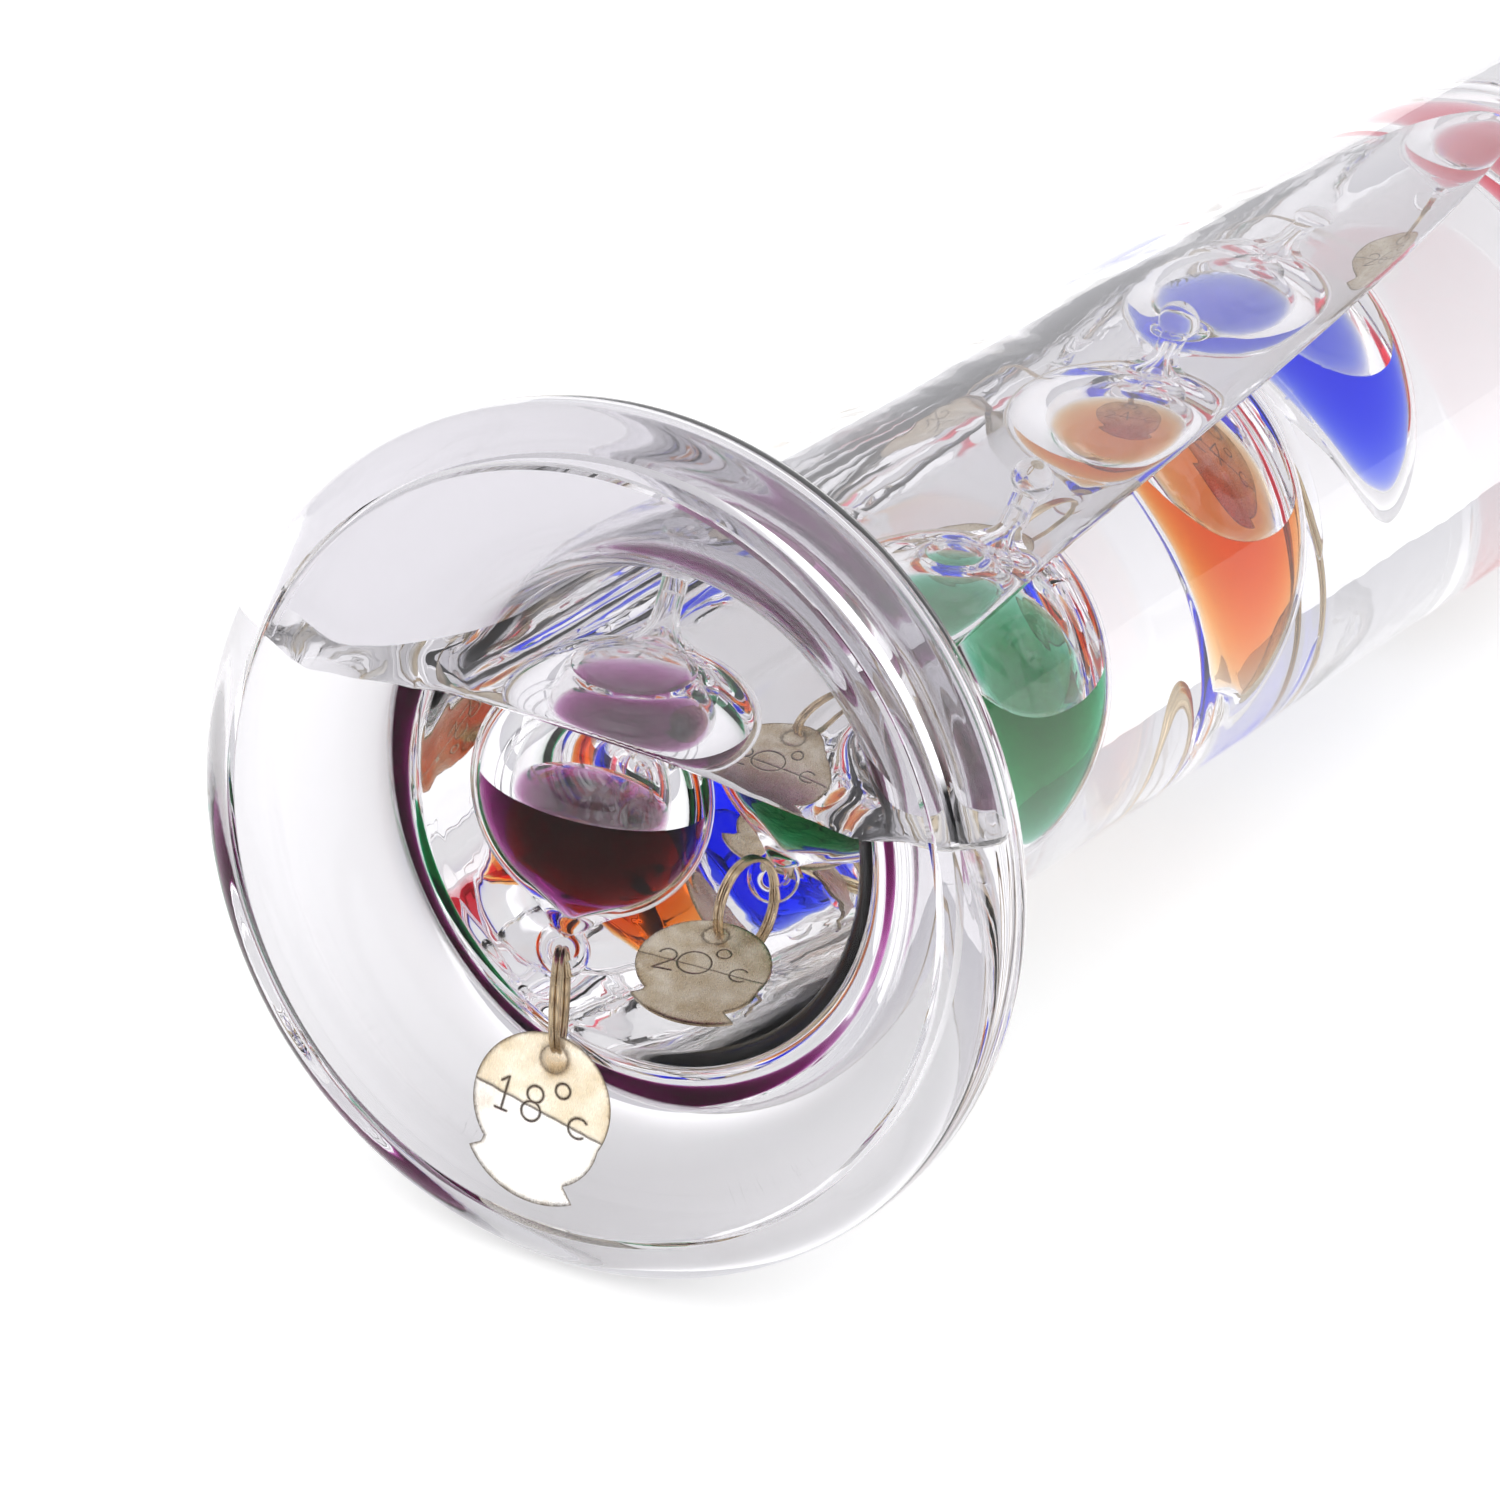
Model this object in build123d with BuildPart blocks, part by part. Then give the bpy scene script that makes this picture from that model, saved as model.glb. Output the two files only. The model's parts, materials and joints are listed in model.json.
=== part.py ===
from build123d import *
from math import acos, asin, atan2, cos, degrees, hypot, radians, sin, sqrt
import os

# Galileo thermometer, lying on its side: it rests on the rim of its foot and on the domed
# end of its tube. Millimetres, +Z up. The tube points along +X and slopes down a little.
# The origin is on the floor, under the middle of the object's box.

# ---- glass vessel ----
vessel_length = 280.0  # foot face to the crown of the dome
tube_radius = 23.5  # outside
tube_wall = 1.8
rim_radius = 40.0
rim_depth = 10.6  # the rim's size along the tube
rim_round = 4.0  # rounding of the rim's two outer edges
flare_start = 20.0  # where the straight tube ends and the flare begins
tip_radius = 3.0  # sealed filling tip on the dome
tip_height = 2.2

# ---- foot plate ----
plate_radius = 35.5
plate_thickness = 3.7
plate_chamfer = 0.3
seam_depth = 0.5  # shallow groove round the plate, in the rim

# ---- liquid ----
level_above_centre = 9.2  # free surface above the centre of the foot face
cavity_gap = 0.3  # clearance round everything that moves in the liquid

# ---- floats ----
bulb_radius = 11.7
bulb_wall = 0.9
knob_radius = 2.0
knob_height = 19.2  # knob centre above bulb centre
neck_radius = 1.25
neck_foot = 3.6  # where the neck runs into the bulb
funnel_top = 5.2  # where the bulb runs into the bottom funnel
eye_drop = 15.4  # eye centre below bulb centre
eye_major = 1.9
eye_minor = 0.75

# ---- split rings ----
ring_major = 4.75
ring_wire = 0.3
turn_offset = 0.28  # half the distance between the two turns

# ---- tags ----
tag_radius = 6.65
tag_thickness = 0.4
tag_hole_radius = 1.3
tag_hole_height = 4.4  # hole centre above disc centre
tag_slack = 0.82  # the tag's hole hangs this much below the wire
tag_tail = 9.2  # lowest point of the wavy tail below disc centre

# Each float: reading, distance along the tube, sideways, height off the tube's axis,
# lean of its top along the tube and sideways, heading and sway of its ring, slip of the ring
# through the eye, place of the tag round the ring, and the tag's swing. Millimetres, degrees.
floats = [
    dict(name="18", at=(20.0, 5.88, 0.77), lean=(27.7, 5.5), ring=(14, -5), slip=28, hang=17, swing=-13),
    dict(name="20", at=(56.0, -5.5, 2.0), lean=(38, -4), ring=(-15, 0), slip=60, hang=66, swing=18),
    dict(name="22", at=(103.5, 0.8, 1.6), lean=(34, 2), ring=(-14, 0), slip=60, hang=78, swing=0),
    dict(name="24", at=(138.0, 7.6, 2.6), lean=(38, -14), ring=(24, 0), slip=60, hang=76, swing=0),
    dict(name="26", at=(196.0, 4.0, 2.4), lean=(36, -6), ring=(18, 0), slip=60, hang=75, swing=0),
]

# ---- worked out from the sizes above ----
inner_radius = tube_radius - tube_wall
dome_centre = vessel_length - tube_radius
rim_inner = rim_radius - rim_round
back_centre = rim_depth - rim_round
# The slope at which the rim and the dome both touch the floor.
dome_from_rim = dome_centre - back_centre
slope = degrees(
    acos((tube_radius - rim_round) / hypot(rim_inner, dome_from_rim)) - atan2(dome_from_rim, rim_inner)
)
tube_axis = Vector(cos(radians(slope)), 0, -sin(radians(slope)))
cross_axis = Vector(sin(radians(slope)), 0, cos(radians(slope)))
side_axis = Vector(0, 1, 0)
centre_height = back_centre * sin(radians(slope)) + rim_inner * cos(radians(slope)) + rim_round
lowest_x = rim_round * cos(radians(slope)) - rim_inner * sin(radians(slope)) - rim_round
highest_x = dome_centre * cos(radians(slope)) + tube_radius + tip_height * cos(radians(slope))
foot_centre = Vector(-(lowest_x + highest_x) / 2, 0, centre_height)

# The flare is an arc that is tangent to the tube and to the rounding at the rim's back.
flare_rise = rim_inner - tube_radius
flare_run = flare_start - back_centre
flare_radius = (flare_run**2 + flare_rise**2 - rim_round**2) / (2 * (flare_rise + rim_round))
flare_centre = (flare_start, tube_radius + flare_radius)
flare_reach = flare_radius + rim_round
flare_end = (
    back_centre + rim_round * flare_run / flare_reach,
    rim_inner + rim_round * (flare_centre[1] - rim_inner) / flare_reach,
)
cavity_radius = flare_radius + tube_wall
cavity_round = rim_round - tube_wall
cavity_foot = 190.0  # where the cavity's rounding starts, in degrees
cavity_edge = (
    back_centre + cavity_round * flare_run / flare_reach,
    rim_inner + cavity_round * (flare_centre[1] - rim_inner) / flare_reach,
)

tube_plane = Plane(origin=foot_centre, x_dir=tube_axis, z_dir=-side_axis)
level_plane = Plane(origin=foot_centre + Vector(0, 0, level_above_centre), z_dir=(0, 0, 1))


def place(axial, sideways, height):
    """A point given along the tube, to its side and across it."""
    return foot_centre + tube_axis * axial + side_axis * sideways + cross_axis * height


def on_circle(centre, radius, angle):
    """A point of a circle, with its angle in degrees."""
    return (centre[0] + radius * cos(radians(angle)), centre[1] + radius * sin(radians(angle)))


def arc_angle(centre, point):
    """The direction from a circle's centre to a point, in degrees."""
    return degrees(atan2(point[1] - centre[1], point[0] - centre[0]))


def flare_arc(radius, start, end):
    """The part of a flare arc between two points, through its middle."""
    first = arc_angle(flare_centre, start) % 360
    last = arc_angle(flare_centre, end) % 360
    return ThreePointArc(start, on_circle(flare_centre, radius, (first + last) / 2), end)


def cavity_outline():
    """The inside of the vessel from the foot plate's edge to the crown of the dome."""
    rounding = (back_centre, rim_inner)
    rounding_start = on_circle(rounding, cavity_round, cavity_foot)
    rounding_end = arc_angle(rounding, cavity_edge)
    rounding_top = on_circle(rounding, cavity_round, (cavity_foot + rounding_end) / 2)
    Line((plate_thickness, plate_radius), rounding_start)
    ThreePointArc(rounding_start, rounding_top, cavity_edge)
    flare_arc(cavity_radius, cavity_edge, (flare_start, inner_radius))
    Line((flare_start, inner_radius), (dome_centre, inner_radius))
    crown = (dome_centre + inner_radius, 0)
    ThreePointArc((dome_centre, inner_radius), on_circle((dome_centre, 0), inner_radius, 45), crown)


def float_outline(grow=0.0):
    """Half of a float's outside from the knob's top to the stem, grown by a clearance."""
    knob = (0, knob_height)
    knob_outer = knob_radius + grow
    neck = neck_radius + grow
    neck_top = (neck, knob_height - sqrt(knob_outer**2 - neck**2))
    bulb = bulb_radius + grow
    shoulder = (neck_foot + grow, sqrt(bulb**2 - (neck_foot + grow) ** 2))
    neck_end = (neck, shoulder[1] + 4.0)
    waist = (neck + 0.7, shoulder[1] + 1.4)
    funnel = (funnel_top, -sqrt(bulb**2 - funnel_top**2))
    stem = (1.4 + grow, -eye_drop + 1.9)
    throat = (2.6 + grow, -12.3 - grow / 2)
    ThreePointArc((0, knob_height + knob_outer), on_circle(knob, knob_outer, 15), neck_top)
    Line(neck_top, neck_end)
    ThreePointArc(neck_end, waist, shoulder)
    ThreePointArc(shoulder, (bulb, 0), funnel)
    ThreePointArc(funnel, throat, stem)
    Line(stem, (0, stem[1]))
    Line((0, stem[1]), (0, knob_height + knob_outer))


def hollow_outline():
    """Half of the space inside a float."""
    inner = bulb_radius - bulb_wall
    bore = neck_radius - 0.6
    shoulder = (neck_foot - 0.9, sqrt(inner**2 - (neck_foot - 0.9) ** 2))
    bore_top = knob_height - knob_radius - 0.8
    neck_end = (bore, shoulder[1] + 4.2)
    waist = (bore + 0.6, shoulder[1] + 1.6)
    funnel = (funnel_top - 1.0, -sqrt(inner**2 - (funnel_top - 1.0) ** 2))
    tip = (0.5, -eye_drop + 3.2)
    Line((0, bore_top), (bore, bore_top))
    Line((bore, bore_top), neck_end)
    ThreePointArc(neck_end, waist, shoulder)
    ThreePointArc(shoulder, (inner, 0), funnel)
    ThreePointArc(funnel, (1.9, -11.3), tip)
    Line(tip, (0, tip[1]))
    Line((0, tip[1]), (0, bore_top))


def tag_outline(grow=0.0):
    """A round tag with a wavy tail that ends in two points."""
    radius = tag_radius + grow
    left = on_circle((0, 0), radius, 228)
    right = on_circle((0, 0), radius, 340)
    left_notch = (-4.55 - grow, -5.55 - grow / 2)
    left_point = (-5.55 - grow, -6.25 - grow)
    right_cheek = (5.95 + grow, -4.2 - grow / 2)
    right_notch = (4.0 + grow, -6.6 - grow)
    right_point = (5.3 + grow, -7.9 - grow)
    ThreePointArc(left, (0, radius), right)
    ThreePointArc(right, right_cheek, right_notch)
    Line(right_notch, right_point)
    ThreePointArc(right_point, (0.7, -tag_tail - grow), left_point)
    Line(left_point, left_notch)
    Line(left_notch, left)


def turned(vector, about, angle):
    """A vector turned about an axis, in degrees."""
    return vector.rotate(Axis((0, 0, 0), about), angle)


class Hanging:
    """Where one float, its ring and its tag are at rest."""

    def __init__(self, spec):
        self.centre = place(*spec["at"])
        along, aside = spec["lean"]
        self.up = turned(turned(cross_axis, side_axis, along), tube_axis, -aside).normalized()
        heading, sway = spec["ring"]
        self.heading = turned(tube_axis, cross_axis, heading)
        self.drop = turned(cross_axis, self.heading, sway)
        self.eye = self.centre - self.up * eye_drop
        self.ring_axis = self.heading.cross(self.drop).normalized()
        slip = radians(spec["slip"])
        hang = radians(spec["hang"])
        to_centre = self.drop * -cos(slip) - self.heading * sin(slip)
        outward = self.drop * -cos(hang) - self.heading * sin(hang)
        self.ring_centre = self.eye + to_centre * ring_major
        self.ring_hinge = self.heading * cos(slip) - self.drop * sin(slip)
        # The eye's hole follows the wire that passes through it.
        across = self.ring_hinge - self.up * self.ring_hinge.dot(self.up)
        self.eye_axis = across.normalized()
        self.wire_at_tag = self.ring_centre + outward * ring_major
        self.tag_normal = (self.heading * -cos(hang) + self.drop * sin(hang)).normalized()
        self.tag_down = turned(outward, self.tag_normal, spec["swing"])
        self.hole = self.wire_at_tag + self.tag_down * tag_slack
        self.disc = self.hole + self.tag_down * tag_hole_height

    def profile_plane(self):
        """The plane in which the float's half outline is drawn, with the float's axis as Y."""
        return Plane(origin=self.centre, x_dir=self.eye_axis, z_dir=self.eye_axis.cross(self.up))

    def float_axis(self):
        return Axis(self.centre, self.up)

    def eye_plane(self):
        return Plane(origin=self.eye, x_dir=self.up, z_dir=self.eye_axis.cross(self.up))

    def ring_plane(self):
        return Plane(origin=self.ring_centre, x_dir=self.drop, z_dir=self.heading)

    def tag_plane(self):
        return Plane(
            origin=self.disc,
            x_dir=(self.tag_down * -1).cross(self.tag_normal),
            z_dir=self.tag_normal,
        )


hanging = {spec["name"]: Hanging(spec) for spec in floats}
os.makedirs("parts", exist_ok=True)

# ---- glass tube: rim, flared foot, straight tube and dome in one blown piece ----
with BuildPart() as glass_tube:
    with BuildSketch(tube_plane):
        with BuildLine():
            front_round = (rim_round, rim_inner)
            Line((seam_depth, plate_radius), (0, rim_inner))
            ThreePointArc((0, rim_inner), on_circle(front_round, rim_round, 135), (rim_round, rim_radius))
            Line((rim_round, rim_radius), (back_centre, rim_radius))
            back_round = (back_centre, rim_inner)
            half_turn = (90 + arc_angle(back_round, flare_end)) / 2
            ThreePointArc(
                (back_centre, rim_radius), on_circle(back_round, rim_round, half_turn), flare_end
            )
            flare_arc(flare_radius, flare_end, (flare_start, tube_radius))
            Line((flare_start, tube_radius), (dome_centre, tube_radius))
            tip_angle = degrees(asin(tip_radius / tube_radius))
            tip_foot = on_circle((dome_centre, 0), tube_radius, tip_angle)
            tip_top = vessel_length + tip_height
            half_dome = on_circle((dome_centre, 0), tube_radius, (90 + tip_angle) / 2)
            ThreePointArc((dome_centre, tube_radius), half_dome, tip_foot)
            tip_edge = (tip_top, tip_radius / 3)
            ThreePointArc(tip_foot, (tip_top - 0.5, tip_radius * 0.75), tip_edge)
            Line(tip_edge, (tip_top, 0))
            Line((tip_top, 0), (dome_centre + inner_radius, 0))
            cavity_outline()
            Line((plate_thickness, plate_radius), (seam_depth, plate_radius))
        make_face()
    revolve(axis=Axis(foot_centre, tube_axis))
glass_tube.part.label = "glass_tube"
export_step(glass_tube.part, "parts/glass_tube.step")

# ---- foot plate: the disc that closes the foot ----
with BuildPart() as foot_plate:
    with BuildSketch(Plane(origin=foot_centre, z_dir=tube_axis)):
        Circle(plate_radius)
    extrude(amount=plate_thickness)
    chamfer(foot_plate.edges().group_by(Axis(foot_centre, tube_axis))[0], length=plate_chamfer)
foot_plate.part.label = "foot_plate"
export_step(foot_plate.part, "parts/foot_plate.step")

# ---- clear liquid: fills the vessel up to a level surface, round the floats, rings and tags ----
with BuildPart() as clear_liquid:
    with BuildSketch(tube_plane):
        with BuildLine():
            Line((plate_thickness, 0), (plate_thickness, plate_radius))
            cavity_outline()
            Line((dome_centre + inner_radius, 0), (plate_thickness, 0))
        make_face()
    revolve(axis=Axis(foot_centre, tube_axis))
    split(bisect_by=level_plane, keep=Keep.BOTTOM)
    for rest in hanging.values():
        with BuildSketch(rest.profile_plane()):
            with BuildLine():
                float_outline(cavity_gap)
            make_face()
        revolve(axis=rest.float_axis(), mode=Mode.SUBTRACT)
        with BuildSketch(Plane(origin=rest.eye, z_dir=rest.eye_axis)):
            Circle(eye_major + eye_minor + cavity_gap)
        extrude(amount=eye_minor + cavity_gap, both=True, mode=Mode.SUBTRACT)
        with BuildSketch(rest.ring_plane()):
            with Locations((ring_major, 0)):
                Rectangle(2 * (ring_wire + cavity_gap), 2 * (ring_wire + turn_offset + cavity_gap))
        revolve(axis=Axis(rest.ring_centre, rest.ring_axis), mode=Mode.SUBTRACT)
        with BuildSketch(rest.tag_plane()):
            with BuildLine():
                tag_outline(cavity_gap)
            make_face()
        extrude(amount=tag_thickness / 2 + cavity_gap, both=True, mode=Mode.SUBTRACT)
clear_liquid.part.label = "clear_liquid"
export_step(clear_liquid.part, "parts/clear_liquid.step")

for name, rest in hanging.items():
    # ---- blown glass float with a knobbed neck and an eye ----
    with BuildPart() as float_glass:
        with BuildSketch(rest.profile_plane()):
            with BuildLine():
                float_outline()
            make_face()
        revolve(axis=rest.float_axis())
        with BuildSketch(rest.eye_plane()):
            with Locations((eye_major, 0)):
                Circle(eye_minor)
        revolve(axis=Axis(rest.eye, rest.eye_axis))
        with BuildSketch(rest.profile_plane()):
            with BuildLine():
                hollow_outline()
            make_face()
        revolve(axis=rest.float_axis(), mode=Mode.SUBTRACT)
    float_glass.part.label = f"float_glass_{name}"
    export_step(float_glass.part, f"parts/float_glass_{name}.step")

    # ---- dyed liquid that fills the lower half of the float ----
    with BuildPart() as dye:
        with BuildSketch(rest.profile_plane()):
            with BuildLine():
                hollow_outline()
            make_face()
        revolve(axis=rest.float_axis())
        split(bisect_by=Plane(origin=rest.centre, z_dir=(0, 0, 1)), keep=Keep.BOTTOM)
    dye.part.label = f"dye_{name}"
    export_step(dye.part, f"parts/dye_{name}.step")

    # ---- split ring of two turns of brass wire ----
    with BuildPart() as split_ring:
        with BuildSketch(rest.ring_plane()):
            with Locations((ring_major, turn_offset), (ring_major, -turn_offset)):
                Circle(ring_wire)
        revolve(axis=Axis(rest.ring_centre, rest.ring_axis))
    split_ring.part.label = f"split_ring_{name}"
    export_step(split_ring.part, f"parts/split_ring_{name}.step")

    # ---- stamped brass tag ----
    with BuildPart() as tag:
        with BuildSketch(rest.tag_plane()):
            with BuildLine():
                tag_outline()
            make_face()
            with Locations((0, tag_hole_height)):
                Circle(tag_hole_radius, mode=Mode.SUBTRACT)
        extrude(amount=tag_thickness / 2, both=True)
    tag.part.label = f"tag_{name}"
    export_step(tag.part, f"parts/tag_{name}.step")
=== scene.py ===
import bmesh
import bpy
import json
from math import acos, asin, atan2, ceil, cos, degrees, exp, hypot, log, pi, radians, sin, sqrt
from mathutils import Matrix, Vector, noise
from mathutils.geometry import delaunay_2d_cdt
from mathutils.kdtree import KDTree


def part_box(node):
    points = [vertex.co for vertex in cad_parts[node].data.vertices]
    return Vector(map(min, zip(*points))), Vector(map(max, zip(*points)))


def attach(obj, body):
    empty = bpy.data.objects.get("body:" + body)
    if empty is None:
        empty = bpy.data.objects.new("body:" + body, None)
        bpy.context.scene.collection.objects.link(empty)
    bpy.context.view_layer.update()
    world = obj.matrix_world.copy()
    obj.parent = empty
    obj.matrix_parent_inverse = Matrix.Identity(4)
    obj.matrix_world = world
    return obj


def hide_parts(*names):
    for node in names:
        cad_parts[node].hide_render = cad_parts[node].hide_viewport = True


# Galileo thermometer, lying on the rim of its foot and on its dome. Sizes are in millimetres
# and become metres through MM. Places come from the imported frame.

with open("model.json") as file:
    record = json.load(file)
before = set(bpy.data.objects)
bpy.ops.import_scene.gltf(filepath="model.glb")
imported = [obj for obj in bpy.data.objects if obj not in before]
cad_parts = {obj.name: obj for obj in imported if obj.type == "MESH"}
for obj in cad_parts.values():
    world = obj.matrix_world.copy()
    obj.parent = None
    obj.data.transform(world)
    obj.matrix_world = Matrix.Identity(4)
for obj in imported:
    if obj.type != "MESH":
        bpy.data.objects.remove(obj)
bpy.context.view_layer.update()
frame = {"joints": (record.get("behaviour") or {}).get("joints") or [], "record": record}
scene = bpy.context.scene
MM = 0.001

# ---- sizes, the same as the CAD's ----
vessel_length = 280.0
tube_radius = 23.5
tube_wall = 1.8
inner_radius = tube_radius - tube_wall
rim_radius = 40.0
rim_depth = 10.6
rim_round = 4.0
flare_start = 20.0
tip_radius = 3.0
tip_height = 2.2
plate_radius = 35.5
plate_thickness = 3.7
plate_chamfer = 0.3
seam_depth = 0.5
level_above_centre = 9.2
bulb_radius = 11.7
bulb_wall = 0.9
knob_radius = 2.0
knob_height = 19.2
neck_radius = 1.25
neck_foot = 3.6
funnel_top = 5.2
eye_drop = 15.4
eye_major = 1.9
eye_minor = 0.75
ring_major = 4.75
ring_wire = 0.3
turn_offset = 0.28
tag_radius = 6.65
tag_thickness = 0.4
tag_hole_radius = 1.3
tag_hole_height = 4.4
tag_slack = 0.82
tag_tail = 9.2

# Each float's reading, its dye (what is left of red, green and blue after a centimetre) and
# how far its tag has swung on the ring, in degrees.
floats = {
    "18": dict(slot="purple_dye", left=(0.12, 0.003, 0.07), swing=-13),
    "20": dict(slot="green_dye", left=(0.009, 0.29, 0.1), swing=18),
    "22": dict(slot="orange_dye", left=(0.9, 0.26, 0.04), swing=0),
    "24": dict(slot="blue_dye", left=(0.06, 0.1, 0.94), swing=0),
    "26": dict(slot="red_dye", left=(0.85, 0.14, 0.2), swing=0),
}

# ---- the tube's own directions ----
mount = frame["record"]["mounts"][0]
joints = {j["name"]: j for j in frame["joints"]}
foot_centre = Vector(mount["pos_m"])
tube_axis = -Vector(mount["axis"]).normalized()
side_axis = Vector((0, 1, 0))
cross_axis = tube_axis.cross(side_axis)
level = foot_centre.z + level_above_centre * MM
wall_climb = 2.75  # how far the liquid climbs the wall near the foot
neck_climb = 0.5  # and the floats' necks
plate_gap = 0.02  # between the liquid and the foot plate
wall_gap = 0.03  # between the liquid and the vessel's wall
sheet_gap = 0.012  # between a dye and the sheet that is its surface
weld = 1e-7  # metres


def foot_climb(y):
    """How far the liquid climbs the foot plate, which is wavy, at a distance to its side."""
    spots = [(-36, 2.0), (-31, 1.0), (-25, -0.3), (-20, 0.1), (-15, 0.4), (-10, 0.9), (-4, 1.6)]
    spots += [(7, 1.6), (13, 1.5), (16, 0.9), (20, 0.2), (27, -0.7), (30, -1.1), (36, 1.0)]
    if y <= spots[0][0]:
        return spots[0][1]
    for (y0, z0), (y1, z1) in zip(spots, spots[1:]):
        if y <= y1:
            share = (y - y0) / (y1 - y0)
            return z0 + (z1 - z0) * share * share * (3 - 2 * share)
    return spots[-1][1]


def climb(point):
    """How far above the level the liquid touches the vessel, near a point."""
    out = point - foot_centre
    a, y = out.dot(tube_axis) / MM, out.y / MM
    share = min(max((a - plate_thickness) / 22, 0), 1)
    share = share * share * (3 - 2 * share)
    along = min(max((a - 60) / 115, 0), 1)
    wall = wall_climb - (wall_climb - 0.35) * along
    return foot_climb(y) * (1 - share) + wall * share


# ---- camera ----
yaw = radians(27.16)
elevation = radians(26.44)
roll = radians(5.08)
ahead = Vector((cos(elevation) * cos(yaw), cos(elevation) * sin(yaw), -sin(elevation)))
level_right = ahead.cross(Vector((0, 0, 1))).normalized()
level_up = level_right.cross(ahead)
camera_right = level_right * cos(roll) + level_up * sin(roll)
camera_up = level_up * cos(roll) - level_right * sin(roll)
camera_distance = 0.770
aim = foot_centre + camera_right * 0.01494 + camera_up * 0.00955
turn = Matrix((camera_right, camera_up, -ahead)).transposed()
camera_data = bpy.data.cameras.new("camera")
camera_data.sensor_width = 36
camera_data.lens = 212.6
camera_data.clip_start = 0.01
camera = bpy.data.objects.new("camera", camera_data)
camera.matrix_world = Matrix.Translation(aim - ahead * camera_distance) @ turn.to_4x4()
scene.collection.objects.link(camera)
scene.camera = camera


# ---- small tools ----
def line(start, end, count):
    return [
        (start[0] + (end[0] - start[0]) * i / count, start[1] + (end[1] - start[1]) * i / count)
        for i in range(count + 1)
    ]


def arc(centre, radius, start, end, count):
    """Points of an arc between two angles in degrees."""
    angles = [radians(start + (end - start) * i / count) for i in range(count + 1)]
    return [(centre[0] + radius * cos(t), centre[1] + radius * sin(t)) for t in angles]


def arc_through(start, middle, end, count):
    """Points of the arc through three points."""
    (ax, ay), (bx, by), (cx, cy) = start, middle, end
    d = 2 * (ax * (by - cy) + bx * (cy - ay) + cx * (ay - by))
    a2, b2, c2 = ax**2 + ay**2, bx**2 + by**2, cx**2 + cy**2
    ux = (a2 * (by - cy) + b2 * (cy - ay) + c2 * (ay - by)) / d
    uy = (a2 * (cx - bx) + b2 * (ax - cx) + c2 * (bx - ax)) / d
    angles = [degrees(atan2(p[1] - uy, p[0] - ux)) for p in (start, middle, end)]
    sweep = (angles[2] - angles[0]) % 360
    if (angles[1] - angles[0]) % 360 > sweep:
        sweep -= 360
    return arc((ux, uy), hypot(ax - ux, ay - uy), angles[0], angles[0] + sweep, count)


def joined(*runs):
    """Several runs of points as one, without doubled points."""
    points = []
    for run in runs:
        for p in run:
            if not points or hypot(p[0] - points[-1][0], p[1] - points[-1][1]) > 1e-4:
                points.append(p)
    return points


def turned(profile, base, axis, start, steps, ripple=None):
    """Points and faces of a profile of (along, radius), turned about an axis."""
    other = axis.cross(start)
    points, faces, rows = [], [], []
    for a, r in profile:
        first = len(points)
        centre = base + axis * (a * MM)
        if r < 1e-4:
            points.append(centre)
            rows.append([first] * steps)
            continue
        for i in range(steps):
            t = 2 * pi * i / steps
            reach = r + (ripple(a, t) if ripple else 0)
            points.append(centre + (start * cos(t) + other * sin(t)) * (reach * MM))
        rows.append(list(range(first, first + steps)))
    for low, high in zip(rows, rows[1:]):
        for i in range(steps):
            j = (i + 1) % steps
            faces.append(list(dict.fromkeys((low[i], low[j], high[j], high[i]))))
    return points, faces


def new_bmesh(points, faces):
    bm = bmesh.new()
    made = [bm.verts.new(p) for p in points]
    for face in faces:
        bm.faces.new([made[i] for i in face])
    return bm


def cut_level(bm, height, above=False):
    """Cuts every face along a horizontal plane, and drops what is above it if asked."""
    bmesh.ops.bisect_plane(
        bm,
        geom=bm.verts[:] + bm.edges[:] + bm.faces[:],
        dist=weld,
        plane_co=(0, 0, height),
        plane_no=(0, 0, 1),
        clear_outer=above,
    )


def cut_climbing(bm, above=False):
    """Cuts a surface that touches the vessel's liquid along the shore, and marks what is dry."""
    lift = bm.verts.layers.float.new("lift")
    for v in bm.verts:
        v[lift] = climb(v.co) * MM
        v.co.z -= v[lift]
    cut_level(bm, level, above)
    dry = bm.faces.layers.int.new("dry")
    for face in bm.faces:
        face[dry] = 1 if face.calc_center_median().z > level else 0
    for v in bm.verts:
        v.co.z += v[lift]
    return dry


def in_order(edges):
    """The points of a closed run of edges, one after the other."""
    order = [edges[0].verts[0], edges[0].verts[1]]
    left = set(edges[1:])
    while left:
        step = next((e for e in order[-1].link_edges if e in left), None)
        if step is None:
            break
        left.discard(step)
        order.append(step.other_vert(order[-1]))
    if order[-1] is order[0]:
        order.pop()
    return order


def piece(name, bm, materials, body, nodes, crease=28):
    """Makes a shown piece of a mesh: smooth, with sharp edges only at real corners."""
    for edge in bm.edges:
        sharp = len(edge.link_faces) == 2 and edge.calc_face_angle(0) > radians(crease)
        edge.smooth = not sharp
    for face in bm.faces:
        face.smooth = True
    mesh = bpy.data.meshes.new(name)
    bm.to_mesh(mesh)
    bm.free()
    for material in materials:
        mesh.materials.append(material)
    made = bpy.data.objects.new(name, mesh)
    scene.collection.objects.link(made)
    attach(made, body)
    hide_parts(*nodes)
    return made


# ---- materials ----
def new_material(name):
    material = bpy.data.materials.new(name)
    material.use_nodes = True
    material.node_tree.nodes.clear()
    return material, material.node_tree.nodes, material.node_tree.links


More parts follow.
